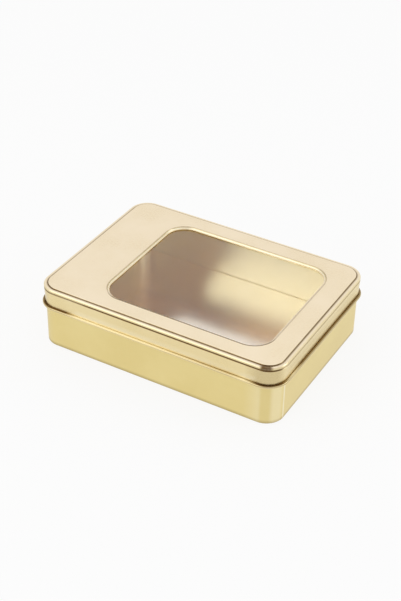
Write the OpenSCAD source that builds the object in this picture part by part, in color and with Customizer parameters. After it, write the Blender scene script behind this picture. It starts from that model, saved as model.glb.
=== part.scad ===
// Rectangular lacquered tin with rounded corners, a slip-over lid and a clear window in the lid.
// Sizes are in millimetres. X runs along the tin, Y across it and Z up.
// The origin is the middle of the underside, at the level of the table.

/* [Outside] */
// Length over the curl at the lid's lower edge
tin_l = 225; // [180:1:320]
// Width over the curl at the lid's lower edge
tin_w = 164.6; // [120:0.2:240]
// Height with the lid on
tin_h = 55.6; // [40:0.2:120]
// Corner radius of the lid's skirt
corner_r = 16.5; // [13:0.5:24]

/* [Tinplate] */
// Thickness of the sheet that the lid, the wall and the bottom are pressed from
sheet = 0.3; // [0.26:0.02:0.34]
// Room between the lid's skirt and the wall
lid_gap = 0.6; // [0.4:0.05:1]

/* [Lid] */
// Depth from the lid's panel to the bottom of its curl
lid_depth = 19.4; // [14:0.2:25]
// Outside diameter of the curl at the skirt's lower edge
curl_d = 2.5; // [2:0.1:3]
// Radius of the shoulder's sheet, at the middle of its thickness
shoulder_r = 1.3; // [1.1:0.05:1.5]
// How far the shoulder stands proud of the skirt
shoulder_proud = 0.4; // [0.3:0.05:0.6]
// Depth of the groove between the panel and the shoulder
groove_depth = 0.8; // [0.7:0.05:1]
// Distance from the skirt's outside to the middle of the groove
groove_inset = 2.75; // [2.6:0.05:3.2]

/* [Window] */
// Plain margin from the skirt to the window at the wide end of the lid
margin_wide = 48; // [20:1:80]
// Plain margin from the skirt to the window at the other end
margin_end = 21.5; // [14:0.5:30]
// Plain margin from the skirt to the window along both long sides
margin_side = 18; // [14:0.2:30]
// Corner radius of the window's outline
window_r = 19; // [12:0.2:24]
// Depth of the recess round the window
recess_depth = 1.5; // [1.2:0.1:2]
// Width of the recess, from the window's outline to the edge of the hole
recess_w = 1.9; // [1.8:0.1:2.6]
// Thickness of the clear sheet
film_t = 0.3; // [0.2:0.05:0.4]
// How far the clear sheet reaches past the window's outline, under the panel
film_lap = 4.5; // [2:0.5:8]
// Thickness of the glue between the hem and the clear sheet
glue_t = 0.2; // [0.1:0.05:0.3]

/* [Body] */
// Height of the floor inside, above the table
floor_h = 5.8; // [4:0.2:9]
// Outside diameter of the curl along the wall's top edge
rim_d = 1.9; // [1.6:0.1:2.2]
// Height of the hem that grips the bottom's flange
hem_h = 3; // [2:0.2:3.4]
// Width of the folded side seam
seam_w = 4; // [3:0.5:6]

/* [Hidden] */
$fn = 96;

gold = "#dfcf8d";
pale_gold = "#eadcb0";

// Middle of the sheet, which every profile below follows
half = sheet / 2;
// Degrees that one straight step of a bend may turn
step = 22.5;
// How far a cutting block reaches past what it cuts
cut = 1;

// Skirt of the lid
skirt_out = curl_d - sheet;
skirt_l = tin_l - 2 * skirt_out;
skirt_w = tin_w - 2 * skirt_out;

// Wall of the body
wall_inset = sheet + lid_gap;
wall_l = skirt_l - 2 * wall_inset;
wall_w = skirt_w - 2 * wall_inset;
wall_r = corner_r - wall_inset;
rim_clear = 0.15;
rim_top = tin_h - groove_depth - sheet - rim_clear;

// Outline of the window
win_l = skirt_l - margin_wide - margin_end;
win_w = skirt_w - 2 * margin_side;
win_x = (margin_wide - margin_end) / 2;

// Heights under the window, from the hem downwards
hem_gap = 0.1;
hem_low = recess_depth + 2 * sheet + hem_gap;
glue_top = tin_h - hem_low;
film_top = glue_top - glue_t;

// Points along a bend about c, from angle a0 to a1, at the middle of the sheet
function bend(c, r, a0, a1) =
    let (n = max(2, ceil(abs(a1 - a0) / step)))
    [for (i = [0 : n]) let (a = a0 + (a1 - a0) * i / n) c + r * [cos(a), sin(a)]];

// A path without the points that repeat where two bends meet
function distinct(path) =
    [for (i = [0 : len(path) - 1]) if (i == 0 || norm(path[i] - path[max(i, 1) - 1]) > 0.001) path[i]];

function unit(v) = v / norm(v);
function left_of(v) = [-v[1], v[0]];

// Point i of a path moved sideways by d, square to the path
function beside(path, i, d) =
    let (
        last = len(path) - 1,
        before = unit(path[max(i, 1)] - path[max(i, 1) - 1]),
        after = unit(path[min(i, last - 1) + 1] - path[min(i, last - 1)]),
        across = unit(left_of(before) + left_of(after))
    )
    path[i] + across * d / (across * left_of(before));

// Sheet of even thickness along a path
module strip(path, t = sheet) {
    last = len(path) - 1;
    polygon(concat(
        [for (i = [0 : last]) beside(path, i, t / 2)],
        [for (i = [last : -1 : 0]) beside(path, i, -t / 2)]
    ));
}

module rounded_plate(l, w, r, t) {
    linear_extrude(height = t) rounded_outline(l, w, r);
}

module rounded_outline(l, w, r) {
    square([l - 2 * r, w], center = true);
    square([l, w - 2 * r], center = true);
    for (x = [-1, 1], y = [-1, 1])
        translate([x * (l / 2 - r), y * (w / 2 - r)]) circle(r = r);
}

// Carries a profile round a rectangle with rounded corners.
// The profile's x = 0 is the outline and its +x points away from the middle.
module carry_round(l, w, r) {
    for (side = [0 : 3]) {
        long = side % 2 == 0 ? l : w;
        deep = side % 2 == 0 ? w : l;
        rotate([0, 0, 90 * side - 90]) {
            translate([deep / 2, (long / 2 - r), 0])
                rotate([90, 0, 0])
                    linear_extrude(height = long - 2 * r) children();
            translate([deep / 2 - r, long / 2 - r, 0])
                rotate_extrude(angle = 90)
                    translate([r, 0]) children();
        }
    }
}

// Lid profile: panel edge, groove, shoulder, crease, skirt with its lip, and outward curl.
// x = 0 is the outside of the skirt.
edge_r = 0.6;
groove_r = 0.5;
groove_steep = 60;
groove_rise = 10;
curl_r = (curl_d - sheet) / 2;
curl_end = 128;
panel_lap = 1.2;
under_r = 0.4;
under_turn = acos(1 - shoulder_proud / (shoulder_r + under_r));

// The lip under the crease: the sheet comes out again, then falls back to the skirt's line
crease_h = 0.5;
lip_in_r = 0.5;
lip_out_r = 0.8;
lip_turn = 40;
lip_slope = 0.2;
lip_fall = 6;
lip_proud = (lip_in_r + lip_out_r) * (1 - cos(lip_turn)) + lip_slope * sin(lip_turn);
lip_lean = atan(lip_proud / lip_fall);

function lid_profile() =
    let (
        top = tin_h - half,
        groove_c = [-groove_inset, tin_h - groove_depth - half + groove_r],
        edge_c = [
            groove_c[0] - groove_r * sin(groove_steep) - edge_r * sin(groove_steep)
                - (top - edge_r * (1 - cos(groove_steep)) - groove_c[1] + groove_r * cos(groove_steep))
                / tan(groove_steep),
            top - edge_r
        ],
        shoulder_x = shoulder_proud - half - shoulder_r,
        groove_end = groove_c + groove_r * [sin(groove_rise), -cos(groove_rise)],
        shoulder_x0 = shoulder_x - shoulder_r * sin(groove_rise),
        shoulder_z = groove_end[1] + (shoulder_x0 - groove_end[0]) * tan(groove_rise)
            - shoulder_r * cos(groove_rise),
        shoulder_c = [shoulder_x, shoulder_z],
        under_z = shoulder_z - (shoulder_r + under_r) * sin(under_turn),
        lip_in_c = [lip_in_r - half, under_z - crease_h],
        lip_c = lip_in_c + lip_slope * [sin(lip_turn), -cos(lip_turn)]
            - (lip_in_r + lip_out_r) * [cos(lip_turn), sin(lip_turn)],
        curl_c = [curl_r - half, tin_h - lid_depth + curl_d / 2]
    )
    distinct(concat(
        [[edge_c[0] - panel_lap, top]],
        bend(edge_c, edge_r, 90, 90 - groove_steep),
        bend(groove_c, groove_r, -90 - groove_steep, -90 + groove_rise),
        bend(shoulder_c, shoulder_r, 90 + groove_rise, -under_turn),
        bend([under_r - half, under_z], under_r, 180 - under_turn, 180),
        bend(lip_in_c, lip_in_r, 180, 180 + lip_turn),
        bend(lip_c, lip_out_r, lip_turn, -lip_lean),
        [[-half, lip_c[1] - lip_fall]],
        bend(curl_c, curl_r, 180, 360),
        bend(curl_c, curl_r, 360, 360 + curl_end)
    ));

// Window profile: from the panel down the recess to a hem folded back under the ledge.
// x = 0 is the window's outline and the hole lies on the -x side.
recess_edge_r = 0.5;
recess_foot_r = 0.4;
recess_steep = 65;
hem_r = (sheet + hem_gap) / 2;
hem_back = 0.5;

function window_profile() =
    let (
        top = tin_h - half,
        ledge = top - recess_depth,
        edge_c = [recess_edge_r * sin(recess_steep) - 0.1, top - recess_edge_r],
        edge_end = edge_c + recess_edge_r * [-sin(recess_steep), cos(recess_steep)],
        foot_top = ledge + recess_foot_r * (1 - cos(recess_steep)),
        foot_x = edge_end[0] - (edge_end[1] - foot_top) / tan(recess_steep)
            - recess_foot_r * sin(recess_steep),
        foot_c = [foot_x, ledge + recess_foot_r],
        hem_c = [-recess_w + hem_r + half, ledge - hem_r]
    )
    concat(
        [[edge_c[0] + panel_lap, top]],
        bend(edge_c, recess_edge_r, 90, 90 + recess_steep),
        bend(foot_c, recess_foot_r, recess_steep - 90, -90),
        bend(hem_c, hem_r, 90, 270),
        [[hem_back, ledge - 2 * hem_r]]
    );

// Wall profile: inward curl along the top, straight wall, flat-footed hem turned up inside.
// x = 0 is the outside of the wall.
rim_r = (rim_d - sheet) / 2;
rim_end = 310;
foot_r = 0.25;
hem_w = 1.1;

function wall_profile() =
    concat(
        bend([-rim_r - half, rim_top - rim_d / 2], rim_r, rim_end, 0),
        bend([-half - foot_r, half + foot_r], foot_r, 0, -90),
        bend([half + foot_r - hem_w, half + foot_r], foot_r, -90, -180),
        [[half - hem_w, hem_h]]
    );

// Bottom profile: flange against the wall, then the floor.
// x = 0 is the outside of the wall.
floor_bend_r = 0.8;
flange_low = 0.65;
floor_lap = 4;

function bottom_profile() =
    let (
        x = -sheet - half,
        z = floor_h - half
    )
    concat(
        [[x, flange_low]],
        bend([x - floor_bend_r, z - floor_bend_r], floor_bend_r, 0, 90),
        [[x - floor_bend_r - floor_lap, z]]
    );

// Band of tinplate that forms the four walls, with its side seam at the wide end of the lid
seam_t = 2 * sheet;
seam_line = 0.25;
seam_sunk = 0.12;
module body_wall() color(gold) {
    seam_low = floor_h + 0.3;
    seam_high = rim_top - rim_d;
    difference() {
        carry_round(wall_l, wall_w, wall_r) strip(wall_profile());
        translate([-wall_l / 2 - cut, seam_w / 2 - seam_line / 2, hem_h])
            cube([cut + seam_sunk, seam_line, seam_high - hem_h]);
    }
    translate([-wall_l / 2 + sheet - half, -seam_w / 2, seam_low])
        cube([seam_t + half, seam_w, seam_high - seam_low]);
}

// Raised floor with a flange turned down into the wall's hem
module bottom_plate() color(pale_gold) {
    lap_inset = sheet + half + floor_bend_r + floor_lap / 2;
    carry_round(wall_l, wall_w, wall_r) strip(bottom_profile());
    translate([0, 0, floor_h - sheet])
        rounded_plate(wall_l - 2 * lap_inset, wall_w - 2 * lap_inset, wall_r - lap_inset, sheet);
}

// One pressed sheet: panel, shoulder, skirt and the hemmed recess round the window
module lid_shell() color(gold) {
    edge_inset = -lid_profile()[0][0];
    window_lap = window_profile()[0][0];
    carry_round(skirt_l, skirt_w, corner_r) strip(lid_profile());
    translate([win_x, 0, 0])
        carry_round(win_l, win_w, window_r) strip(window_profile());
    difference() {
        translate([0, 0, tin_h - sheet])
            rounded_plate(
                skirt_l - 2 * edge_inset + panel_lap,
                skirt_w - 2 * edge_inset + panel_lap,
                corner_r - edge_inset + panel_lap / 2,
                sheet
            );
        translate([win_x, 0, tin_h - sheet - cut])
            rounded_plate(
                win_l + 2 * window_lap - panel_lap,
                win_w + 2 * window_lap - panel_lap,
                window_r + window_lap - panel_lap / 2,
                sheet + 2 * cut
            );
    }
}

// Clear sheet behind the window
module window_sheet() color("white", 0.3) {
    translate([win_x, 0, film_top - film_t])
        rounded_plate(win_l + 2 * film_lap, win_w + 2 * film_lap, window_r + film_lap, film_t);
}

// Glue line between the hem round the window and the clear sheet
glue_w = 1.3;
glue_inset = 1.1;
module window_glue() color("ivory") {
    translate([win_x, 0, 0])
        carry_round(win_l, win_w, window_r)
            translate([-glue_inset, film_top]) square([glue_w, glue_t]);
}

body_wall();
bottom_plate();
lid_shell();
window_sheet();
window_glue();
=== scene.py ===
"""Gold-lacquered tin with a slip-over window lid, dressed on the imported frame.

The five pressed or cut pieces are rebuilt here as finely bent sheets in the same sizes as the frame's
solids, so that their curls, grooves and hems reflect the studio smoothly. Profiles are in millimetres.
"""
import math

import bpy
import numpy as np
from mathutils import Matrix, Vector


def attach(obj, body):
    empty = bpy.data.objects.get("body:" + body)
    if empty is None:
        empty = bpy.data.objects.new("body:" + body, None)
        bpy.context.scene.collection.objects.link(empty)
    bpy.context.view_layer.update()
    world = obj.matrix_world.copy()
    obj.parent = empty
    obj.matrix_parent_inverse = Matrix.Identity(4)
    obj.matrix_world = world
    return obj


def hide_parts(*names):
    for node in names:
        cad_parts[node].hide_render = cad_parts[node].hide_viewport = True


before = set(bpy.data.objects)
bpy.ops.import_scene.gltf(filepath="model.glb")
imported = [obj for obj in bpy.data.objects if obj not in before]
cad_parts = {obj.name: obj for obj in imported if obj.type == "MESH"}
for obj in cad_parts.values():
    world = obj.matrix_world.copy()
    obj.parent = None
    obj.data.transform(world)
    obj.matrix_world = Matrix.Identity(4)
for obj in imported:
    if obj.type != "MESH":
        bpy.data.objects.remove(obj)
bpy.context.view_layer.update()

MM = 0.001

# Sizes of the tin, as in the frame
TIN_H = 55.6
SHEET = 0.3
SKIRT = (220.6, 160.2, 16.5)
WALL = (218.8, 158.4, 15.6)
WINDOW = (151.1, 124.2, 19.0)
WINDOW_X = 13.25
LID_DEPTH = 19.4
CURL_D = 2.5
RIM_D = 1.9
RIM_TOP = 54.35
FLOOR_H = 5.8
HEM_H = 3.0
FILM_T = 0.3
FILM_TOP = 53.2
FILM_LAP = 4.5
GLUE_T = 0.2
SEAM_W = 4.0

# Where the curl ends, in degrees past its outermost point, pressed tight or a little open
CURL_TIGHT, CURL_OPEN = 132.0, 120.0

# Fineness of the bends
BEND_STEP = 6.0
CORNER_STEPS = 28


# ---------------------------------------------------------------- profiles
def bend(c, r, a0, a1, step=BEND_STEP):
    """Points along an arc about c, from angle a0 to a1 in degrees."""
    n = max(3, math.ceil(abs(a1 - a0) / step))
    angles = [math.radians(a0 + (a1 - a0) * i / n) for i in range(n + 1)]
    return [(c[0] + r * math.cos(a), c[1] + r * math.sin(a)) for a in angles]


def distinct(path):
    """The path without the points that repeat where two bends meet."""
    kept = [path[0]]
    for p in path[1:]:
        if math.dist(p, kept[-1]) > 0.001:
            kept.append(p)
    return kept


def supported(path, near=0.12, spacing=6.0):
    """The path with extra points close to the ends of each long straight run, so that it shades flat."""
    out = [path[0]]
    for p, q in zip(path, path[1:]):
        run = math.dist(p, q)
        if run > 4 * near:
            count = max(1, round(run / spacing))
            cuts = sorted({near / run, 1 - near / run, *(i / count for i in range(1, count))})
            out += [(p[0] + (q[0] - p[0]) * t, p[1] + (q[1] - p[1]) * t) for t in cuts]
        out.append(q)
    return out


def beside(path, offset):
    """The path moved sideways, to its left for a positive offset."""
    pts = np.array(path)
    steps = np.diff(pts, axis=0)
    steps /= np.linalg.norm(steps, axis=1)[:, None]
    left = np.stack([-steps[:, 1], steps[:, 0]], axis=1)
    before = np.vstack([left[:1], left])
    after = np.vstack([left, left[-1:]])
    across = before + after
    across /= np.linalg.norm(across, axis=1)[:, None]
    reach = offset / np.sum(across * before, axis=1)
    return pts + across * reach[:, None]


def lid_profile(curl_end=CURL_TIGHT):
    """Panel edge, groove, shoulder, crease, skirt with its lip, and curl. x = 0 is the skirt's outside."""
    half = SHEET / 2
    top = TIN_H - half
    edge_r, groove_r, steep, rise = 0.6, 0.5, 60.0, 10.0
    shoulder_r, proud, under_r = 1.3, 0.4, 0.4
    groove_c = (-2.75, TIN_H - 0.8 - half + groove_r)
    s, c = math.sin(math.radians(steep)), math.cos(math.radians(steep))
    fall = top - edge_r * (1 - c) - groove_c[1] + groove_r * c
    edge_c = (groove_c[0] - (groove_r + edge_r) * s - fall * c / s, top - edge_r)
    s, c = math.sin(math.radians(rise)), math.cos(math.radians(rise))
    shoulder_x = proud - half - shoulder_r
    end = (groove_c[0] + groove_r * s, groove_c[1] - groove_r * c)
    shoulder_z = end[1] + (shoulder_x - shoulder_r * s - end[0]) * s / c - shoulder_r * c
    turn = math.degrees(math.acos(1 - proud / (shoulder_r + under_r)))
    under_z = shoulder_z - (shoulder_r + under_r) * math.sin(math.radians(turn))
    lip_in_r, lip_out_r, lip_turn, lip_slope, lip_fall = 0.5, 0.8, 40.0, 0.2, 6.0
    s, c = math.sin(math.radians(lip_turn)), math.cos(math.radians(lip_turn))
    lip_proud = (lip_in_r + lip_out_r) * (1 - c) + lip_slope * s
    lip_lean = math.degrees(math.atan(lip_proud / lip_fall))
    lip_in_c = (lip_in_r - half, under_z - 0.5)
    lip_c = (lip_in_c[0] + lip_slope * s - (lip_in_r + lip_out_r) * c,
             lip_in_c[1] - lip_slope * c - (lip_in_r + lip_out_r) * s)
    curl_r = (CURL_D - SHEET) / 2
    curl_c = (curl_r - half, TIN_H - LID_DEPTH + CURL_D / 2)
    return supported(distinct(
        [(edge_c[0] - 1.2, top)]
        + bend(edge_c, edge_r, 90, 90 - steep)
        + bend(groove_c, groove_r, -90 - steep, -90 + rise)
        + bend((shoulder_x, shoulder_z), shoulder_r, 90 + rise, -turn)
        + bend((under_r - half, under_z), under_r, 180 - turn, 180)
        + bend(lip_in_c, lip_in_r, 180, 180 + lip_turn)
        + bend(lip_c, lip_out_r, lip_turn, -lip_lean)
        + [(-half, lip_c[1] - lip_fall)]
        + bend(curl_c, curl_r, 180, 360)
        + bend(curl_c, curl_r, 360, 360 + curl_end, curl_end / 21)
    ))


def window_profile():
    """Panel edge, recess, ledge and the hem folded back. x = 0 is the window's outline, -x the hole."""
    top = TIN_H - SHEET / 2
    ledge = top - 1.5
    edge_r, foot_r, hem_r, steep = 0.5, 0.4, 0.2, 65.0
    s, c = math.sin(math.radians(steep)), math.cos(math.radians(steep))
    edge_c = (edge_r * s - 0.1, top - edge_r)
    edge_end = (edge_c[0] - edge_r * s, edge_c[1] + edge_r * c)
    foot_top = ledge + foot_r * (1 - c)
    foot_x = edge_end[0] - (edge_end[1] - foot_top) * c / s - foot_r * s
    hem_c = (-1.9 + hem_r + SHEET / 2, ledge - hem_r)
    return supported(distinct(
        [(edge_c[0] + 1.2, top)]
        + bend(edge_c, edge_r, 90, 90 + steep)
        + bend((foot_x, ledge + foot_r), foot_r, steep - 90, -90)
        + bend(hem_c, hem_r, 90, 270, 15)
        + [(0.5, ledge - 2 * hem_r)]
    ))


def wall_profile():
    """Inward curl along the top, wall and the hem turned up inside. x = 0 is the wall's outside."""
    half = SHEET / 2
    rim_r, foot_r = (RIM_D - SHEET) / 2, 0.25
    return supported(distinct(
        bend((-rim_r - half, RIM_TOP - RIM_D / 2), rim_r, 310, 0)
        + bend((-half - foot_r, half + foot_r), foot_r, 0, -90, 10)
        + bend((half + foot_r - 1.1, half + foot_r), foot_r, -90, -180, 10)
        + [(half - 1.1, HEM_H)]
    ), spacing=3.0)


def bottom_profile():
    """Flange against the wall, then the floor. x = 0 is the wall's outside."""
    x = -SHEET * 1.5
    z = FLOOR_H - SHEET / 2
    r = 0.8
    return supported(distinct([(x, 0.65)] + bend((x - r, z - r), r, 0, 90) + [(x - r - 4.0, z)]))


# ---------------------------------------------------------------- carrying a profile round
def stations(outline, marks=()):
    """Points of a rounded rectangle, each with its outward direction, anticlockwise from +X.

    Every outline has the same number of them, apart from marks, which are extra places on the -X side.
    """
    length, width, r = outline
    corners = [(1, 1, 0), (-1, 1, 90), (-1, -1, 180), (1, -1, 270)]
    out = []
    for k, (sx, sy, start) in enumerate(corners):
        cx, cy = sx * (length / 2 - r), sy * (width / 2 - r)
        for i in range(CORNER_STEPS + 1):
            a = math.radians(start + 90 * i / CORNER_STEPS)
            d = (math.cos(a), math.sin(a))
            out.append((cx + r * d[0], cy + r * d[1], d[0], d[1]))
        nx, ny, _ = corners[(k + 1) % 4]
        a = math.radians(start + 90)
        d = (math.cos(a), math.sin(a))
        p = np.array(out[-1][:2])
        q = np.array([nx * (length / 2 - r) + r * d[0], ny * (width / 2 - r) + r * d[1]])
        run = float(np.linalg.norm(q - p))
        places = {0.3, run - 0.3, *(run * i / 16 for i in range(1, 16))}
        if k == 1:
            places |= {run / 2 - m for m in marks}
        for t in sorted(places):
            spot = p + (q - p) * t / run
            out.append((spot[0], spot[1], d[0], d[1]))
    return np.array(out)


def placed(where, points):
    """Profile points carried to every station: an array of stations by points by x, y and z."""
    where, points = np.asarray(where), np.asarray(points)
    xy = where[:, None, :2] + where[:, None, 2:] * points[None, :, :1]
    z = np.broadcast_to(points[None, :, 1:], (len(where), len(points), 1))
    return np.concatenate([xy, z], axis=2)


def between(a, b, cuts):
    """Rings across the flat panel, between the last ring of one profile and the first of another."""
    cuts = np.asarray(cuts)[None, :, None]
    return a[:, None, :] * (1 - cuts) + b[:, None, :] * cuts


def ring_faces(n, m):
    """Quads of a closed band with n stations and m points in its closed section."""
    k, p = np.meshgrid(np.arange(n), np.arange(m), indexing="ij")
    k1, p1 = (k + 1) % n, (p + 1) % m
    return np.stack([k * m + p, k1 * m + p, k1 * m + p1, k * m + p1], axis=2).reshape(-1, 4)


def make_mesh(name, parts, body, nodes=(), attributes=(), sharp=40.0):
    """One object from islands of points and faces, with maps that its material reads.

    blank: the flat sheet that it was pressed from, in metres. worn: 1 where the sheet turns sharply
    outwards. painted_shade: 1 where shade and dark reflections are painted into grooves, creases and
    edges.
    painted_highlight: 1 where a highlight is painted. inside: 1 on the sheet's inner side.
    """
    verts, faces, blank = [], [], []
    masks = {"worn": [], "painted_shade": [], "painted_highlight": [], "inside": []}
    base = 0
    for part in parts:
        pts = np.asarray(part["points"], float).reshape(-1, 3)
        verts.append(pts * MM)
        faces += [[int(i) + base for i in f] for f in part["faces"]]
        blank.append(np.asarray(part.get("blank", pts), float).reshape(len(pts), -1)[:, :2] * MM)
        for key, rows in masks.items():
            value = np.asarray(part.get(key, 0.0), float).reshape(-1)
            rows.append(value if len(value) == len(pts) else np.full(len(pts), value[0]))
        base += len(pts)
    verts = np.concatenate(verts)
    mesh = bpy.data.meshes.new(name)
    mesh.from_pydata(verts.tolist(), [], faces)
    volume = 0.0
    mesh.calc_loop_triangles()
    for tri in mesh.loop_triangles:
        a, b, c = (verts[i] for i in tri.vertices)
        volume += float(np.dot(a, np.cross(b, c)))
    if volume < 0:
        mesh.flip_normals()
    layer = mesh.attributes.new("blank", "FLOAT_VECTOR", "POINT")
    flat = np.concatenate(blank)
    layer.data.foreach_set("vector", np.hstack([flat, np.zeros((len(flat), 1))]).ravel())
    for key, rows in masks.items():
        layer = mesh.attributes.new(key, "FLOAT", "POINT")
        layer.data.foreach_set("value", np.concatenate(rows))
    # The rolled grain runs along the blank's x, so gloss spreads along its y: the map's first axis
    uv = mesh.uv_layers.new(name="grain")
    corners = np.empty(len(mesh.loops), int)
    mesh.loops.foreach_get("vertex_index", corners)
    uv.data.foreach_set("uv", flat[corners][:, ::-1].ravel())
    mesh.polygons.foreach_set("use_smooth", [True] * len(mesh.polygons))
    mesh.set_sharp_from_angle(angle=math.radians(sharp))
    mesh.validate()
    mesh.update()
    piece = bpy.data.objects.new(name, mesh)
    bpy.context.scene.collection.objects.link(piece)
    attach(piece, body)
    if nodes:
        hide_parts(*nodes)
    return piece


def run_length(path):
    """Distance along a path to each of its points."""
    pts = np.asarray(path)
    return np.concatenate([[0], np.cumsum(np.linalg.norm(np.diff(pts, axis=0), axis=1))])


def turning(path):
    """How sharply each point of a path turns to its right, 1 at a radius of 1.25 mm; left is negative."""
    pts = np.asarray(path)
    steps = np.diff(pts, axis=0)
    heading = np.unwrap(np.arctan2(steps[:, 1], steps[:, 0]))
    turn = np.zeros(len(pts))
    turn[1:-1] = -(heading[1:] - heading[:-1])
    size = np.zeros(len(pts))
    size[1:-1] = (np.linalg.norm(steps[1:], axis=1) + np.linalg.norm(steps[:-1], axis=1)) / 2
    curve = np.divide(turn, size, out=np.zeros(len(pts)), where=size > 0)
    return curve / 0.8


def spread(path, mask, reach):
    """A mask along a path, widened so that it fades out over the given distance."""
    at = run_length(path)
    away = np.abs(at[:, None] - at[None, :])
    return np.max(mask[None, :] * np.clip(1.25 - away / reach, 0, 1), axis=1)


# ---------------------------------------------------------------- pieces
def curl_tightness(where):
    """How tightly the curl closes against the skirt at each station: 1 along the middle of the front."""
    x, y = where[:, 0] / (SKIRT[0] / 2), where[:, 1] / (SKIRT[1] / 2)
    front = np.clip((0.28 - x) / 0.12, 0, 1) * np.clip((x + 0.90) / 0.06, 0, 1) * (y < -0.999)
    return front * 0.9 + 0.1 * (0.5 + 0.5 * np.sin(5.0 * x + 3.0 * y))


def round_corner(where, outline, sx, sy):
    """Degrees round one corner: 0 where it leaves the end wall, 90 where it meets the long side.

    The straight sides next to it go on from there at the bend's own rate; all else is far away.
    """
    length, width, r = outline
    u, v = sx * where[:, 0] - (length / 2 - r), sy * where[:, 1] - (width / 2 - r)
    turned = np.degrees(np.where(v <= 0, v / r, np.where(u <= 0, math.pi / 2 - u / r, np.arctan2(v, u))))
    beside_it = (sx * where[:, 2] > -0.001) & (sy * where[:, 3] > -0.001)
    return np.where(beside_it, turned, 999.0)


def band(value, low, high, fade):
    """1 between low and high, fading to 0 over the given distance on both sides."""
    return np.clip(1 - np.maximum(low - value, value - high) / fade, 0, 1)


def painted_shade_strength(where):
    """How strongly shade is painted at each station in the groove, in the crease and beside the curl."""
    x, y = where[:, 0], where[:, 1]
    near = round_corner(where, SKIRT, 1, -1)
    left = round_corner(where, SKIRT, -1, -1)
    front, end = where[:, 3] < -0.7, where[:, 2] > 0.7
    corner = np.maximum(band(near, 30, 120, 25), band(left, -10, 110, 25))
    groove = np.maximum(0.9, corner)
    crease = np.where(front, 1.0, 0.45)
    crease = np.maximum(crease * np.where(x < -70, 0.8, 1.0), band(near, 30, 110, 25))
    curl = np.full(len(where), 0.85)
    curl[front] = np.interp(x[front], (-93, -82, -70, -10, 45, 72, 80, 84, 90),
                            (1, 1, 0.05, 0.05, 0.4, 0.45, 0.1, 0.1, 1))
    curl[end] = np.interp(y[end], (-70, -60, -52, -42), (1, 0.3, 0.3, 0.8))
    return groove[:, None], crease[:, None], curl[:, None]


def line_at(path, spot, half_width, fade):
    """1 along a path near the given point, within half_width, fading out over the given distance."""
    at = run_length(path)
    middle = at[int(np.argmin([math.dist(p, spot) for p in path]))]
    return np.clip(1 - (np.abs(at - middle) - half_width) / fade, 0, 1)[None, :]


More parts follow.
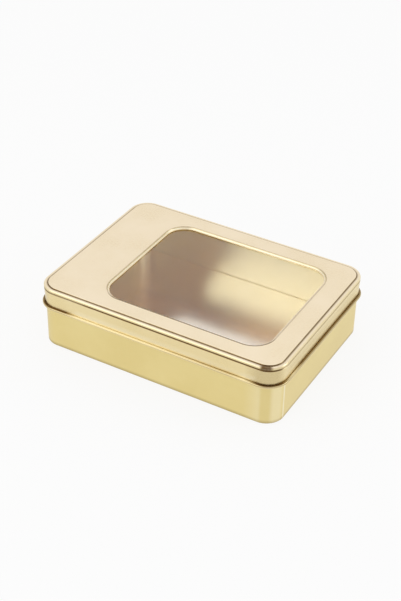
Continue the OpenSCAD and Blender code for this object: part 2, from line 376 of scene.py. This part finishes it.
def make_lid():
    outer, inner = lid_profile(), window_profile()
    around = stations(SKIRT)
    window = stations(WINDOW)
    window[:, 0] += WINDOW_X
    open_curl = lid_profile(CURL_OPEN)
    tight = curl_tightness(around)[:, None, None]
    skirt_top, skirt_under = beside(outer, SHEET / 2), beside(outer, -SHEET / 2)
    open_top, open_under = beside(open_curl, SHEET / 2), beside(open_curl, -SHEET / 2)
    recess_top, recess_under = beside(inner, -SHEET / 2), beside(inner, SHEET / 2)
    cuts = [0.004, 0.1, 0.3, 0.5, 0.7, 0.9, 0.996]

    top_out = placed(around, skirt_top[::-1]) * tight + placed(around, open_top[::-1]) * (1 - tight)
    top_in = placed(window, recess_top)
    low_in = placed(window, recess_under[::-1])
    low_out = placed(around, skirt_under) * tight + placed(around, open_under) * (1 - tight)
    section = np.concatenate([
        top_out, between(top_out[:, -1], top_in[:, 0], cuts), top_in,
        low_in, between(low_in[:, -1], low_out[:, 0], cuts), low_out,
    ], axis=1)

    # The blank's own flat coordinates: the sheet unrolled away from the panel
    reach_out, reach_in = run_length(outer), run_length(inner)
    start_out, start_in = outer[0][0], inner[0][0]
    def unrolled(where, distances):
        return where[:, None, :2] + where[:, None, 2:] * distances[None, :, None]
    b_out = unrolled(around, (start_out + reach_out)[::-1])
    b_in = unrolled(window, start_in - reach_in)
    b_top = np.concatenate([b_out, between(b_out[:, -1], b_in[:, 0], cuts), b_in], axis=1)
    blank = np.concatenate([b_top, b_top[:, ::-1]], axis=1)

    turn_out, turn_in = turning(outer), turning([(-x, z) for x, z in inner])
    flat = np.zeros(len(cuts))
    turn = np.concatenate([turn_out[::-1], flat, turn_in])
    bare = np.zeros(len(turn))

    # Painted shade in the groove, in the crease and beside the curl, most of it at the corners, with
    # painted dark reflections on the bead and skirt by the corners
    groove_share, crease_share, curl_share = painted_shade_strength(around)
    near = round_corner(around, SKIRT, 1, -1)[:, None]
    left = round_corner(around, SKIRT, -1, -1)[:, None]
    curl_c = (CURL_D / 2 - SHEET, TIN_H - LID_DEPTH + CURL_D / 2)
    painted_shade_out = np.maximum.reduce([
        line_at(outer, (-3.15, TIN_H - 0.85), 0.5, 0.25) * groove_share,
        line_at(outer, (-SHEET / 2, TIN_H - 3.4), 0.7, 0.3) * crease_share,
        line_at(outer, (-SHEET / 2, curl_c[1] + 1.2), 0.5, 1.2) * 0.45 * band(near, -400, 95, 15)
        * np.clip(1.5 * curl_share, 0, 1),
        line_at(outer, (0.1, TIN_H - 1.9), 2.2, 0.4) * band(near, 58, 80, 10),
        line_at(outer, (-SHEET / 2, TIN_H - 12.0), 7.5, 5.0) * 0.26 * band(near, 35, 95, 25),
        line_at(outer, (-SHEET / 2, TIN_H - 9.0), 8.0, 2.0) * 0.25 * band(left, -60, 45, 30),
    ])
    # Painted shade along the window's edge all round, stronger on the sides facing the camera, with a
    # short dark mark on the near side
    camera_facing = np.clip(window[:, 2] * 0.49 - window[:, 3] * 0.87, 0, 1)[:, None]
    dash = (np.clip(1.5 - np.abs(window[:, 0] + 43) / 7, 0, 1) * (window[:, 3] < -0.9))[:, None]
    painted_shade_in = np.maximum.reduce([
        line_at(inner, (0.1, TIN_H - 0.3), 0.25, 0.2) * 0.45 + 0 * dash,
        line_at(inner, (0.35, TIN_H - 0.17), 0.45, 0.3) * np.clip(camera_facing * 2.4 - 0.8, 0, 1.0),
        line_at(inner, (0.1, TIN_H - 0.3), 0.6, 0.2) * np.maximum(dash, np.clip(camera_facing * 4 - 3, 0, 1)),
        line_at(inner, (-0.75, TIN_H - 1.5), 0.2, 0.2) * 0.5 + 0 * dash,
    ])
    # On its other side the curl gets painted shade, darkest where it faces the skirt
    x, z = np.array(outer).T
    facing = np.degrees(np.arctan2(z - curl_c[1], x - curl_c[0]))
    on_curl = (z < curl_c[1] + CURL_D) & (x > -SHEET / 2 + 0.02)
    curl_top = np.where(on_curl, band(facing, 62, 140, 12), 0)[None, :]
    curl_all = np.where(on_curl, band(facing, 5, 140, 20), 0)[None, :]
    painted_shade_under = np.maximum(curl_top * curl_share, curl_all * np.clip(0.12 + 0.5 * curl_share, 0, 0.36))
    gap = np.zeros((len(around), len(cuts)))
    painted_shade = np.hstack([painted_shade_out[:, ::-1], gap, painted_shade_in, np.zeros_like(painted_shade_in), gap, painted_shade_under])
    # Painted reflection: where the curl is pressed tight against the skirt, the curl and the skirt's foot
    # are painted paler, for the light they shine bright into each other
    pale = np.clip(1 - 1.3 * curl_share, 0, 1) * 0.6
    painted_highlight_out = np.where(z < curl_c[1] + 1.5, 1.0, 0.0)[None, :] * (z > curl_c[1] - 0.2)[None, :] * pale
    painted_highlight_under = np.where(on_curl, band(facing, 75, 140, 15), 0)[None, :] * pale
    # Painted highlight on the window's recess on the sides facing away from the camera
    painted_highlight_in = line_at(inner, (-0.4, TIN_H - 0.95), 0.45, 0.2) * (1 - camera_facing)
    painted_highlight = np.hstack([painted_highlight_out[:, ::-1], gap, painted_highlight_in, 0 * painted_shade_in, gap, painted_highlight_under])
    # The curl shows the sheet's other side, which is lacquered like the outside up to the skirt
    curled = (z < curl_c[1] + 0.01) | on_curl
    inner_side = np.concatenate([bare, bare[:len(turn) - len(outer)] + 1, np.where(curled, 0.0, 1.0)])
    part = {
        "points": section, "faces": ring_faces(*section.shape[:2]), "blank": blank,
        "worn": np.tile(np.concatenate([np.clip(turn, 0, 1), bare]), len(around)),
        "painted_shade": painted_shade.ravel(),
        "painted_highlight": painted_highlight.ravel(),
        "inside": np.tile(inner_side, len(around)),
    }
    return make_mesh("lid_pressing", [part], "lid", ["lid_shell"])


def make_wall():
    path = wall_profile()
    marks = [SEAM_W / 2 + d for d in (-0.45, -0.2, -0.1, 0.0, 0.1, 0.2, 0.45)]
    around = stations(WALL, marks)
    start = int(np.argmin(np.hypot(around[:, 0] + WALL[0] / 2, around[:, 1] - SEAM_W / 2)))
    around = np.roll(around, -start, axis=0)
    out_side, in_side = beside(path, SHEET / 2), beside(path, -SHEET / 2)
    section = np.concatenate([placed(around, out_side), placed(around, in_side[::-1])], axis=1)

    # Fine line outside, where the wall's two ends are hooked together
    side = around[:, 2] < -0.999
    from_line = np.abs(around[:, 1] - SEAM_W / 2)
    sunk = np.where(side, np.clip(1 - from_line / 0.21, 0, 1), 0)
    z = section[0, :len(path), 1 * 2]
    seam_rows = (z > HEM_H) & (z < RIM_TOP - RIM_D) & (section[:, :len(path), 0].min(axis=0) < 0)
    section[:, :len(path), 0] += 0.12 * sunk[:, None] * seam_rows[None, :]

    along = np.concatenate([[0], np.cumsum(np.linalg.norm(np.diff(around[:, :2], axis=0), axis=1))])
    reach = run_length(path)
    u = np.broadcast_to(along[:, None], (len(around), len(path)))
    v = np.broadcast_to(reach[None, :], (len(around), len(path)))
    flat = np.stack([u, v], axis=2)
    blank = np.concatenate([flat, flat[:, ::-1]], axis=1)
    bare = np.zeros(len(path))
    bent = np.clip(turning(path), 0, 1)
    near, left = round_corner(around, WALL, 1, -1)[:, None], round_corner(around, WALL, -1, -1)[:, None]
    upright = band(np.array(path)[:, 1], 1.0, RIM_TOP, 1.0)[None, :]
    # Painted highlight: pale vertical bands on the wall by the near corner
    painted_highlight_bands = np.maximum.reduce([0.2 * band(near, 86, 92, 8), 0.3 * band(near, 22, 44, 12),
                               0.9 * band(near, 2.5, 5, 2.5)])
    # Painted shadow along the wall's foot, and painted dark bands on the wall by the near and left corners
    foot = line_at(path, (-SHEET / 2, 0.3), 0.35, 0.4)
    painted_dark_bands = np.maximum(0.05 * band(near, 54, 80, 12), 0.16 * band(left, -60, 40, 25))
    painted_shade = np.maximum(foot * 0.45, painted_dark_bands * upright)
    wall = {
        "points": section, "faces": ring_faces(*section.shape[:2]), "blank": blank,
        "worn": np.tile(np.concatenate([bent, bare]), len(around)),
        "painted_shade": np.hstack([painted_shade, 0 * painted_shade]).ravel(),
        "painted_highlight": np.hstack([painted_highlight_bands * upright, 0 * painted_shade]).ravel(),
        "inside": np.tile(np.concatenate([bare, bare + 1]), len(around)),
    }

    # Folded lap of the side seam, pressed flat inside
    low, high = FLOOR_H + 0.3, RIM_TOP - RIM_D
    x0 = -WALL[0] / 2 + SHEET - 0.05
    r = 0.28
    outline = [(x0, -SEAM_W / 2)] + [(x0 + 0.65 - r + r * math.cos(a), -SEAM_W / 2 + r + r * math.sin(a))
               for a in np.radians(np.linspace(-90, 0, 7))]
    outline += [(x, -y) for x, y in outline[::-1]]
    levels = [low, low + 0.1, *np.linspace(low + 1.5, high - 1.5, 8), high - 0.1, high]
    lap = np.array([[(x, y, level) for x, y in outline] for level in levels])
    n, m = lap.shape[:2]
    faces = [[i * m + j, i * m + (j + 1) % m, (i + 1) * m + (j + 1) % m, (i + 1) * m + j]
             for i in range(n - 1) for j in range(m)]
    faces += [list(range(m))[::-1], [(n - 1) * m + j for j in range(m)]]
    seam = {"points": lap, "faces": faces, "blank": lap[:, :, [1, 2]], "inside": 1.0}
    return make_mesh("wall_band", [wall, seam], "body", ["body_wall"])


def make_bottom():
    path = bottom_profile()
    around = stations(WALL)
    upper = placed(around, beside(path, SHEET / 2)[::-1])
    lower = placed(around, beside(path, -SHEET / 2))
    faces = []
    section = np.concatenate([upper, lower], axis=1)
    n, m = section.shape[:2]
    k = len(path)
    for quad in ring_faces(n, m):
        across = {int(i) % m for i in quad}
        if across != {0, m - 1}:
            faces.append(list(quad))
    points = section.reshape(-1, 3)

    # The floor itself, filled inwards from the ring in shrinking rings
    def filled(ring, upward):
        nonlocal points
        rows = [ring]
        start = points[ring]
        middle = np.array([0.0, 0.0, start[0][2]])
        for t in (0.004, 0.12, 0.35, 0.6, 0.85):
            new = start * (1 - t) + middle * t
            rows.append(np.arange(len(points), len(points) + len(new)))
            points = np.vstack([points, new])
        hub = len(points)
        points = np.vstack([points, middle])
        for a, b in zip(rows, rows[1:]):
            for i in range(len(a)):
                j = (i + 1) % len(a)
                f = [a[i], a[j], b[j], b[i]]
                faces.append(f if upward else f[::-1])
        last = rows[-1]
        for i in range(len(last)):
            f = [last[i], last[(i + 1) % len(last)], hub]
            faces.append(f if upward else f[::-1])

    filled(np.arange(n) * m, True)
    filled(np.arange(n) * m + m - 1, False)
    flat = points[:, :2].copy()
    ring_count = n * m
    unit_out = np.repeat(around[:, 2:], m, axis=0)
    drop = np.clip(points[:ring_count, 2] - (FLOOR_H - 1.2), None, 0)
    flat[:ring_count] -= unit_out * drop[:, None]
    part = {"points": points, "faces": faces, "blank": flat}
    return make_mesh("floor_pressing", [part], "body", ["bottom_plate"])


def make_film():
    length, width, r = WINDOW
    outline = (length + 2 * FILM_LAP, width + 2 * FILM_LAP, r + FILM_LAP)
    around = stations(outline)
    levels = [(0.0, FILM_TOP - FILM_T), (0.0, FILM_TOP)]
    rim = placed(around, levels)
    rim[:, :, 0] += WINDOW_X
    n = len(around)
    points = rim.reshape(-1, 3)
    faces = [[2 * i, 2 * ((i + 1) % n), 2 * ((i + 1) % n) + 1, 2 * i + 1] for i in range(n)]
    for side, upward in ((1, True), (0, False)):
        ring = np.arange(n) * 2 + side
        start = points[ring]
        middle = np.array([WINDOW_X, 0.0, start[0][2]])
        rows = [ring]
        for t in (0.15, 0.35, 0.6, 0.85):
            rows.append(np.arange(len(points), len(points) + n))
            points = np.vstack([points, start * (1 - t) + middle * t])
        hub = len(points)
        points = np.vstack([points, middle])
        for a, b in zip(rows, rows[1:]):
            for i in range(n):
                j = (i + 1) % n
                f = [a[i], a[j], b[j], b[i]]
                faces.append(f if upward else f[::-1])
        for i in range(n):
            f = [rows[-1][i], rows[-1][(i + 1) % n], hub]
            faces.append(f if upward else f[::-1])
    part = {"points": points, "faces": faces}
    return make_mesh("window_film", [part], "lid", ["window_sheet"])


def make_glue():
    section = [(-1.05, FILM_TOP + 0.01), (-0.98, FILM_TOP), (0.1, FILM_TOP), (0.16, FILM_TOP + 0.04),
               (0.16, FILM_TOP + GLUE_T - 0.04), (0.1, FILM_TOP + GLUE_T), (-0.98, FILM_TOP + GLUE_T),
               (-1.05, FILM_TOP + GLUE_T - 0.01)]
    around = stations(WINDOW)
    around[:, 0] += WINDOW_X
    bead = placed(around, section)
    part = {"points": bead, "faces": ring_faces(*bead.shape[:2])}
    return make_mesh("glue_line", [part], "lid", ["window_glue"])


# ---------------------------------------------------------------- materials
class Tree:
    """Small helper to write a node material in reading order."""

    def __init__(self, name):
        self.mat = bpy.data.materials.new(name)
        self.mat.use_nodes = True
        self.nodes = self.mat.node_tree.nodes
        self.links = self.mat.node_tree.links
        self.bsdf = self.nodes["Principled BSDF"]

    def add(self, kind, inputs=None, **settings):
        node = self.nodes.new(kind)
        for key, value in settings.items():
            setattr(node, key, value)
        for key, value in (inputs or {}).items():
            if isinstance(value, bpy.types.NodeSocket):
                self.links.new(value, node.inputs[key])
            else:
                node.inputs[key].default_value = value
        return node

    def math(self, operation, a, b=0.0):
        return self.add("ShaderNodeMath", {0: a, 1: b}, operation=operation).outputs[0]

    def mix(self, factor, a, b):
        node = self.add("ShaderNodeMix", data_type="RGBA")
        for index, value in ((0, factor), (6, a), (7, b)):
            if isinstance(value, bpy.types.NodeSocket):
                self.links.new(value, node.inputs[index])
            else:
                node.inputs[index].default_value = value
        return node.outputs[2]

    def times(self, a, b):
        node = self.add("ShaderNodeMix", data_type="RGBA", blend_type="MULTIPLY")
        node.inputs[0].default_value = 1.0
        self.links.new(a, node.inputs[6])
        self.links.new(b, node.inputs[7])
        return node.outputs[2]

    def span(self, value, low, high, to_low=0.0, to_high=1.0):
        node = self.add("ShaderNodeMapRange", {0: value, 1: low, 2: high, 3: to_low, 4: to_high})
        return node.outputs[0]

    def noise(self, vector, scale, detail=3.0, rough=0.5):
        node = self.add("ShaderNodeTexNoise", {"Vector": vector, "Scale": scale, "Detail": detail,
                                               "Roughness": rough})
        return node.outputs[0]

    def stretched(self, vector, sx, sy, sz=1.0):
        node = self.add("ShaderNodeMapping", {"Vector": vector, "Scale": (sx, sy, sz)})
        return node.outputs[0]


def rgb(r, g, b):
    return (r, g, b, 1.0)


# How much of the lacquer's colour is left where shade is painted into grooves, creases and edges
PAINTED_SHADE_TINT = (0.15, 0.085, 0.012)


def tinplate(name, side, top, inner, rough, spread):
    """Satin gold lacquer over tinplate: rolled grain, faint clouds, scuffs and lightly rubbed bends, with
    painted shade, painted highlights, a top painted paler than the sides and an inside painted paler than
    the outside.
    """
    t = Tree(name)
    place = t.add("ShaderNodeTexCoord").outputs["Object"]
    blank = t.add("ShaderNodeAttribute", attribute_name="blank").outputs["Vector"]
    worn = t.add("ShaderNodeAttribute", attribute_name="worn").outputs["Fac"]
    painted_shade = t.add("ShaderNodeAttribute", attribute_name="painted_shade").outputs["Fac"]
    painted_highlight = t.add("ShaderNodeAttribute", attribute_name="painted_highlight").outputs["Fac"]
    inside = t.add("ShaderNodeAttribute", attribute_name="inside").outputs["Fac"]
    up = t.add("ShaderNodeSeparateXYZ", {0: t.add("ShaderNodeTexCoord").outputs["Normal"]}).outputs[2]

    clouds = t.noise(place, 22.0, 3.0, 0.55)
    grain = t.noise(t.stretched(blank, 260.0, 5200.0), 1.0, 2.0, 0.6)
    tooth = t.noise(place, 4200.0, 1.0, 0.5)
    scuff = t.noise(t.stretched(blank, 900.0, 70.0), 1.0, 4.0, 0.7)
    scuffs = t.span(scuff, 0.66, 0.74)
    rub = t.math("MULTIPLY", worn, t.span(t.noise(place, 160.0, 4.0, 0.6), 0.45, 0.68))

    # Surfaces that face up are painted paler, as if lit from above; the lid's curl keeps the colour of the
    # sides, though it faces up
    above = t.span(t.add("ShaderNodeSeparateXYZ", {0: place}).outputs[2], 0.039, 0.041)
    colour = t.mix(t.math("MULTIPLY", t.span(up, 0.35, 0.97), above), rgb(*side), rgb(*top))
    # The inner side gets a paler colour than the outside, which paints light onto the tin's inside
    colour = t.mix(inside, colour, rgb(*inner))
    # Painted shade: a dark, deep gold where the painted shade mask is set
    colour = t.mix(painted_shade, colour, rgb(*[c * f for c, f in zip(side, PAINTED_SHADE_TINT)]))
    # Painted highlight: pale cream where the painted highlight mask is set
    colour = t.mix(painted_highlight, colour, rgb(0.99, 0.93, 0.74))
    cloudy = t.mix(t.span(clouds, 0.36, 0.66), rgb(0.955, 0.94, 0.89), rgb(1.0, 1.0, 1.0))
    colour = t.times(colour, cloudy)
    colour = t.mix(t.math("MULTIPLY", t.span(grain, 0.3, 0.75), 0.06), colour, rgb(1.0, 0.95, 0.80))
    colour = t.mix(t.math("MULTIPLY", rub, 0.2), colour, rgb(0.92, 0.84, 0.66))
    t.links.new(colour, t.bsdf.inputs["Base Color"])

    base = t.span(clouds, 0.3, 0.7, rough - 0.02, rough + 0.03)
    base = t.math("ADD", base, t.span(grain, 0.3, 0.7, -0.02, 0.02))
    base = t.math("ADD", base, t.math("MULTIPLY", scuffs, 0.05))
    base = t.math("SUBTRACT", base, t.math("MULTIPLY", t.math("ADD", worn, painted_shade), 0.08))
    t.links.new(base, t.bsdf.inputs["Roughness"])

    height = t.math("ADD", t.math("MULTIPLY", grain, 0.7), t.math("MULTIPLY", tooth, 0.5))
    bump = t.add("ShaderNodeBump", {"Strength": 0.16, "Distance": 0.00002, "Height": height})
    t.links.new(bump.outputs[0], t.bsdf.inputs["Normal"])
    t.bsdf.inputs["Metallic"].default_value = 1.0
    t.bsdf.inputs["Anisotropic"].default_value = spread
    tangent = t.add("ShaderNodeTangent", direction_type="UV_MAP", uv_map="grain")
    t.links.new(tangent.outputs[0], t.bsdf.inputs["Tangent"])
    return t.mat


def clear_sheet():
    """Clear plastic sheet with a trace of dust and fine rubbing."""
    t = Tree("clear_sheet")
    place = t.add("ShaderNodeTexCoord").outputs["Object"]
    haze = t.noise(place, 60.0, 4.0, 0.6)
    dust = t.noise(place, 2600.0, 2.0, 0.5)
    specks = t.span(dust, 0.70, 0.76)
    t.links.new(t.mix(t.span(haze, 0.3, 0.7), rgb(0.985, 0.985, 0.985), rgb(1.0, 1.0, 1.0)),
                t.bsdf.inputs["Base Color"])
    rough = t.math("ADD", t.span(haze, 0.35, 0.7, 0.015, 0.04), t.math("MULTIPLY", specks, 0.1))
    t.links.new(rough, t.bsdf.inputs["Roughness"])
    t.bsdf.inputs["Transmission Weight"].default_value = 1.0
    t.bsdf.inputs["IOR"].default_value = 1.48
    return t.mat


def cured_glue():
    """Dull cream glue with small bubbles."""
    t = Tree("cured_glue")
    place = t.add("ShaderNodeTexCoord").outputs["Object"]
    lumps = t.noise(place, 900.0, 3.0, 0.6)
    t.links.new(t.mix(t.span(lumps, 0.35, 0.65), rgb(0.80, 0.76, 0.63), rgb(0.88, 0.85, 0.74)),
                t.bsdf.inputs["Base Color"])
    t.links.new(t.span(lumps, 0.3, 0.7, 0.4, 0.6), t.bsdf.inputs["Roughness"])
    bump = t.add("ShaderNodeBump", {"Strength": 0.3, "Distance": 0.00005, "Height": lumps})
    t.links.new(bump.outputs[0], t.bsdf.inputs["Normal"])
    return t.mat


# ---------------------------------------------------------------- studio
def make_camera():
    """The photograph's view: its turn, height, roll, distance and focal length."""
    azimuth, elevation, roll = math.radians(29.46), math.radians(35.28), math.radians(1.153)
    distance, focal_px, frame_h = 1.1293, 1293.1, 601.0
    aim = Vector((-0.02416, 0.03867, 0.0))
    back = Vector((math.sin(azimuth) * math.cos(elevation), -math.cos(azimuth) * math.cos(elevation),
                   math.sin(elevation)))
    right = Vector((math.cos(azimuth), math.sin(azimuth), 0.0))
    up = back.cross(right)
    side = right * math.cos(roll) + up * math.sin(roll)
    top = up * math.cos(roll) - right * math.sin(roll)
    data = bpy.data.cameras.new("photo_camera")
    data.sensor_width = 36.0
    data.lens = focal_px * data.sensor_width / frame_h
    data.clip_start, data.clip_end = 0.05, 50.0
    camera = bpy.data.objects.new("photo_camera", data)
    place = Matrix((side, top, back)).transposed().to_4x4()
    place.translation = aim + back * distance
    camera.matrix_world = place
    bpy.context.scene.collection.objects.link(camera)
    bpy.context.scene.camera = camera


def shown_ray(nodes, links):
    """1 for the rays that show the background: camera, glossy and transmission rays."""
    path = nodes.new("ShaderNodeLightPath")
    first = nodes.new("ShaderNodeMath")
    first.operation = "MAXIMUM"
    links.new(path.outputs["Is Camera Ray"], first.inputs[0])
    links.new(path.outputs["Is Glossy Ray"], first.inputs[1])
    second = nodes.new("ShaderNodeMath")
    second.operation = "MAXIMUM"
    links.new(first.outputs[0], second.inputs[0])
    links.new(path.outputs["Is Transmission Ray"], second.inputs[1])
    return second.outputs[0]


def make_floor():
    """Plain white table that keeps the object's soft shadow."""
    mesh = bpy.data.meshes.new("studio_floor")
    r = 12.0
    ring = [(r * math.cos(a), r * math.sin(a), -0.0002) for a in np.radians(np.arange(0, 360, 6))]
    mesh.from_pydata(ring, [], [list(range(len(ring)))])
    floor = bpy.data.objects.new("studio_floor", mesh)
    bpy.context.scene.collection.objects.link(floor)
    mat = bpy.data.materials.new("studio_floor")
    mat.use_nodes = True
    nodes, links = mat.node_tree.nodes, mat.node_tree.links
    nodes.clear()
    out = nodes.new("ShaderNodeOutputMaterial")
    matt = nodes.new("ShaderNodeBsdfDiffuse")
    matt.inputs["Color"].default_value = rgb(0.92, 0.92, 0.92)
    glow = nodes.new("ShaderNodeEmission")
    glow.inputs["Strength"].default_value = 1.0
    share = nodes.new("ShaderNodeMath")
    share.operation = "MULTIPLY"
    share.inputs[1].default_value = 0.85
    links.new(shown_ray(nodes, links), share.inputs[0])
    mix = nodes.new("ShaderNodeMixShader")
    links.new(share.outputs[0], mix.inputs[0])
    links.new(matt.outputs[0], mix.inputs[1])
    links.new(glow.outputs[0], mix.inputs[2])
    links.new(mix.outputs[0], out.inputs[0])
    mesh.materials.append(mat)


def make_world():
    """White all round, at a plain level for what it lights."""
    world = bpy.data.worlds.new("studio")
    bpy.context.scene.world = world
    world.use_nodes = True
    nodes, links = world.node_tree.nodes, world.node_tree.links
    background = nodes["Background"]
    background.inputs["Color"].default_value = rgb(1.0, 1.0, 1.0)
    strength = nodes.new("ShaderNodeMapRange")
    strength.inputs["To Min"].default_value = 0.75
    strength.inputs["To Max"].default_value = 1.0
    links.new(shown_ray(nodes, links), strength.inputs["Value"])
    links.new(strength.outputs[0], background.inputs["Strength"])


def softbox(name, size, place, aim, level):
    """Square lamp whose face shows at the given level, where 1 is white."""
    data = bpy.data.lights.new(name, "AREA")
    data.shape = "SQUARE"
    data.size = size
    data.energy = level * math.pi * size * size
    lamp = bpy.data.objects.new(name, data)
    lamp.location = place
    lamp.rotation_mode = "QUATERNION"
    lamp.rotation_quaternion = (Vector(place) - Vector(aim)).to_track_quat("Z", "Y")
    bpy.context.scene.collection.objects.link(lamp)


def dark_side():
    """The dim side of the room behind the photographer, seen only in the metal."""
    turn, distance, wide, low, high = math.radians(29.46), 1.5, 1.3, 0.75, 1.75
    back = Vector((math.sin(turn), -math.cos(turn), 0.0))
    right = Vector((math.cos(turn), math.sin(turn), 0.0))
    corners = [back * distance + right * (side * wide / 2) + Vector((0, 0, z))
               for side, z in ((-1, low), (1, low), (1, high), (-1, high))]
    mesh = bpy.data.meshes.new("dark_side")
    mesh.from_pydata([tuple(c) for c in corners], [], [[0, 1, 2, 3]])
    card = bpy.data.objects.new("dark_side", mesh)
    bpy.context.scene.collection.objects.link(card)
    mat = bpy.data.materials.new("dark_side")
    mat.use_nodes = True
    shader = mat.node_tree.nodes["Principled BSDF"]
    shader.inputs["Base Color"].default_value = rgb(0.42, 0.27, 0.30)
    shader.inputs["Roughness"].default_value = 1.0
    shader.inputs["Specular IOR Level"].default_value = 0.0
    mesh.materials.append(mat)
    card.visible_camera = False
    card.visible_diffuse = False
    card.visible_shadow = False


# The lid's top colour is paler than its sides, which paints light onto the top; the inner colours, and the
# floor's whole colour, are paler than the outside gold, which paints light into the tin
gold_lid = tinplate("gold_lacquer_lid", (0.84, 0.70, 0.39), (0.86, 0.735, 0.545), (1.0, 0.79, 0.70),
                    0.28, 0.3)
gold_body = tinplate("gold_lacquer_body", (0.80, 0.66, 0.295), (0.80, 0.66, 0.295), (1.0, 0.94, 0.62),
                     0.32, 0.75)
gold_floor = tinplate("gold_lacquer_floor", (1.0, 0.91, 0.82), (1.0, 0.91, 0.82), (0.9, 0.8, 0.58),
                      0.19, 0.0)
film = clear_sheet()
glue = cured_glue()

for piece, material in ((make_lid(), gold_lid), (make_wall(), gold_body), (make_bottom(), gold_floor),
                        (make_film(), film), (make_glue(), glue)):
    piece.data.materials.append(material)

make_camera()
make_floor()
make_world()
dark_side()
softbox("key", 1.2, (-0.62, -0.98, 0.88), (0.0, 0.0, 0.0), 0.65)
softbox("overhead", 1.6, (-0.2, 0.3, 1.4), (0.0, 0.0, 0.0), 0.15)
softbox("side", 0.45, (1.05, 0.45, 0.55), (0.0, 0.0, 0.0), 2.0)
bpy.context.scene.cycles.max_bounces = 24
bpy.context.scene.cycles.glossy_bounces = 20

view = bpy.context.scene.view_settings
view.view_transform = "Standard"
